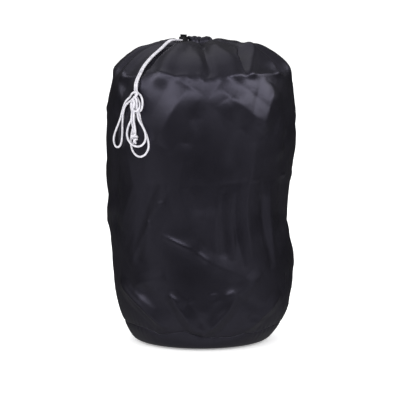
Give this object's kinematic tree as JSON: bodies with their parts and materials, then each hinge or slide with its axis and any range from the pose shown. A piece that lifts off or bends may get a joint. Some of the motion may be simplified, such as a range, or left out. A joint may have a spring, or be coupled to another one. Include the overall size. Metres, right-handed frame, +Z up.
{
  "type": "drawstring laundry bag",
  "caption": "Round-bottomed nylon laundry bag standing full, gathered shut by a knotted white drawcord with a sliding cord lock.",
  "frame": {"origin": "middle of the flat that the full bag stands on", "axes": "+Z up through the mouth, front of the bag towards -Y, +X to the viewer's right"},
  "size_m": [0.387, 0.387, 0.6249],
  "materials": {
    "nylon": "black coated nylon taffeta, soft satin sheen, creased",
    "thread": "black polyester sewing thread",
    "cord": "white braided polyester cord",
    "eyelet": "black enamelled brass",
    "lock": "black moulded polypropylene",
    "spring": "drawn spring wire"
  },
  "bodies": {
    "bag": {"front_panel": "nylon", "back_panel": "nylon", "bottom_panel": "nylon", "side_seam_thread_left": "thread", "side_seam_thread_right": "thread", "bottom_seam_thread": "thread", "mouth_casing": "nylon", "casing_thread": "thread", "eyelet": "eyelet", "eyelet_washer": "eyelet", "cord_in_casing": "cord", "cord_strand_left": "cord", "cord_strand_right": "cord", "cord_main_knot": "cord", "cord_loop_left": "cord", "cord_loop_outer": "cord", "cord_loop_inner": "cord", "cord_end_left": "cord", "cord_end_right": "cord", "cord_end_knot": "cord", "cord_tip_left": "cord", "cord_tip_right": "cord"},
    "lock": {"lock_barrel": "lock", "lock_spring": "spring"},
    "plunger": {"lock_plunger": "lock"}
  },
  "joints": [
    {"name": "lock_slide", "type": "slide", "parent": "bag", "child": "lock", "axis": [-0.7054, -0.7054, 0.0698], "range_m": [0, 0.02]},
    {"name": "plunger_press", "type": "slide", "parent": "lock", "child": "plunger", "axis": [-0.0493, -0.0493, -0.9976], "range_m": [0, 0.003], "stiffness_N_per_m": 900, "springref_m": -0.002, "deforming": ["lock_spring"]}
  ]
}
